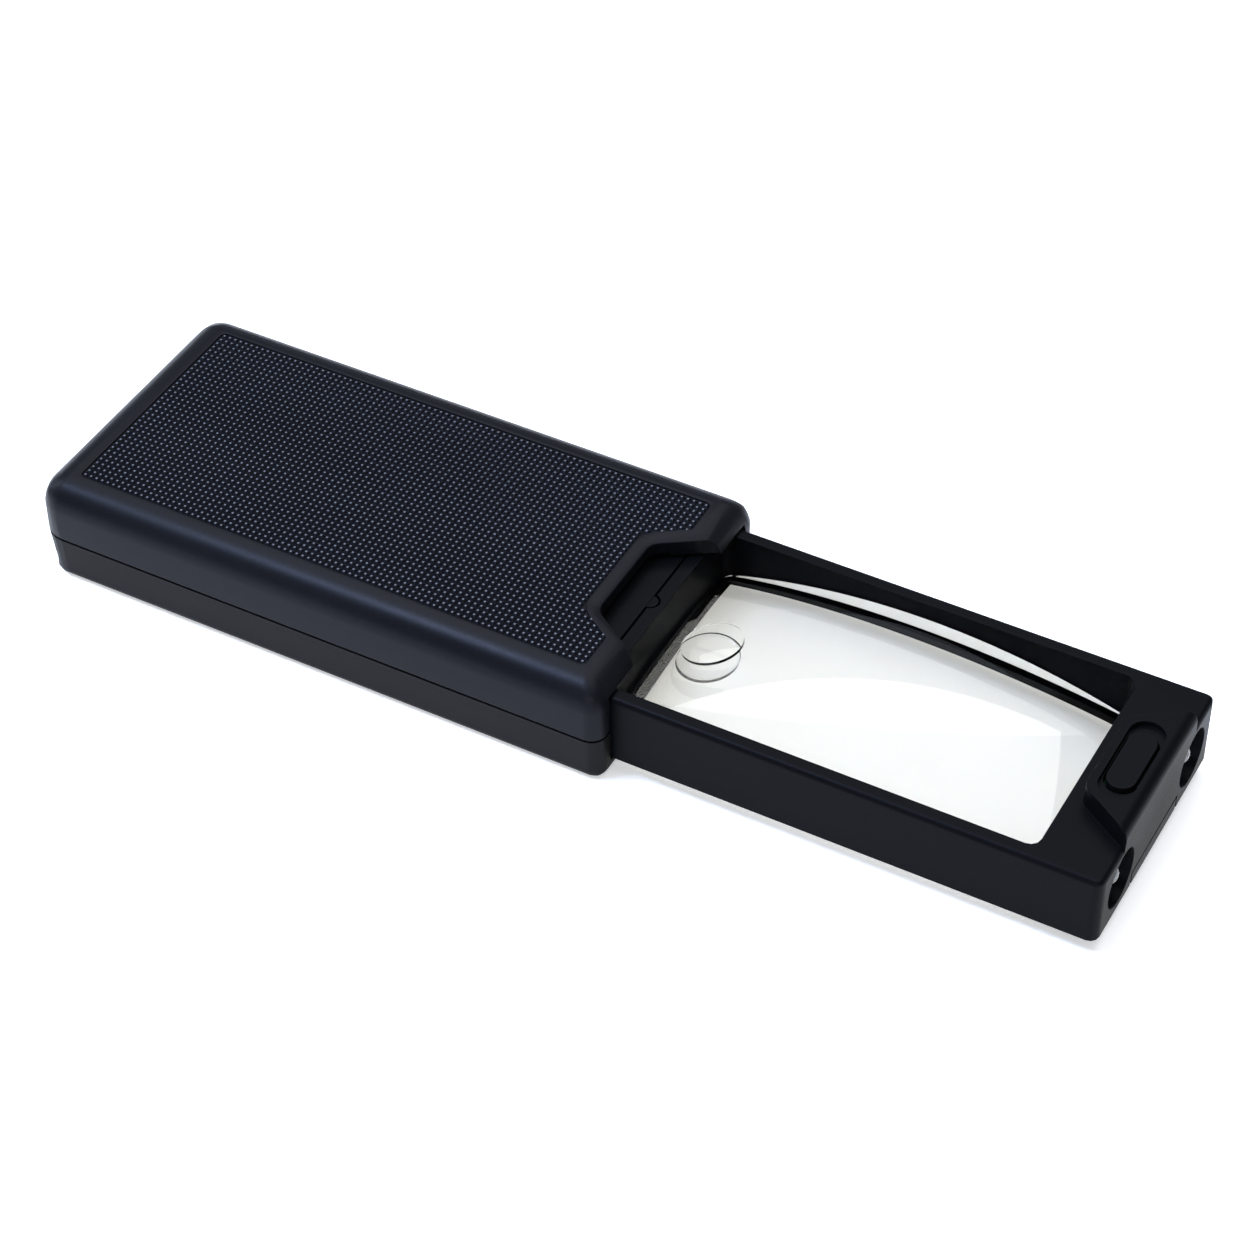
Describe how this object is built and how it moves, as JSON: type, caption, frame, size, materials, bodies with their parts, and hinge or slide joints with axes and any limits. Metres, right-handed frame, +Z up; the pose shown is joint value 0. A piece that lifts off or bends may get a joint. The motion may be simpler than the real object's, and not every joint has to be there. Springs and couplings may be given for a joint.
{
  "type": "slide-out pocket magnifier",
  "caption": "Flat black pocket magnifier: a case with a textured grip panel and a thumb notch, and a drawer with a rectangular lens, a spot lens, LEDs and a push button.",
  "frame": {"origin": "on the ground, under the middle of the pulled-out magnifier's bounding box", "axes": "+X along the drawer's pull-out direction, +Y across the case, +Z up, out of the grip panel"},
  "size_m": [0.1518, 0.0434, 0.0156],
  "materials": {
    "case_plastic": "black ABS, fine satin mould texture",
    "frame_plastic": "black ABS, satin",
    "door_plastic": "black ABS, satin",
    "button_plastic": "black ABS, matte",
    "lens_acrylic": "clear polished acrylic",
    "led_epoxy": "water-clear epoxy",
    "board": "green solder mask",
    "switch_steel": "tinned steel frame",
    "resistor_body": "black ceramic chip",
    "contact_steel": "nickel-plated spring steel",
    "lead_wire": "tinned wire",
    "cell_steel": "nickel-plated can",
    "screw_steel": "zinc-plated self-tapping screw"
  },
  "bodies": {
    "case": {"case_top_shell": "case_plastic", "case_bottom_shell": "case_plastic"},
    "drawer": {"base_screw_1": "screw_steel", "base_screw_2": "screw_steel", "base_screw_3": "screw_steel", "base_screw_4": "screw_steel", "button_cell_1": "cell_steel", "button_cell_2": "cell_steel", "button_cell_3": "cell_steel", "circuit_board": "board", "drawer_base": "frame_plastic", "far_led": "led_epoxy", "far_led_lead_1": "lead_wire", "far_led_lead_2": "lead_wire", "lens_frame": "frame_plastic", "magnifier_lens": "lens_acrylic", "near_led": "led_epoxy", "near_led_lead_1": "lead_wire", "near_led_lead_2": "lead_wire", "negative_contact": "contact_steel", "positive_contact": "contact_steel", "rear_slide": "frame_plastic", "resistor": "resistor_body", "switch_body": "switch_steel"},
    "battery_door": {"battery_door": "door_plastic"},
    "push_button": {"push_button": "button_plastic"},
    "switch_plunger": {"switch_plunger": "button_plastic"}
  },
  "joints": [
    {"name": "drawer_slide", "type": "slide", "parent": "case", "child": "drawer", "axis": [1, 0, 0], "range_m": [-0.0658, 0]},
    {"name": "push_button_press", "type": "slide", "parent": "drawer", "child": "push_button", "axis": [0, 0, -1], "range_m": [0, 0.0005], "stiffness_N_per_m": 600, "springref_m": -0.001},
    {"name": "switch_plunger_press", "type": "slide", "parent": "drawer", "child": "switch_plunger", "axis": [0, 0, -1], "range_m": [0, 0.0005]},
    {"name": "battery_door_slide", "type": "slide", "parent": "drawer", "child": "battery_door", "axis": [1, 0, 0], "range_m": [0, 0.009]}
  ],
  "couplings": [
    {"joint": "switch_plunger_press", "follows": "push_button_press", "ratio": 1}
  ]
}
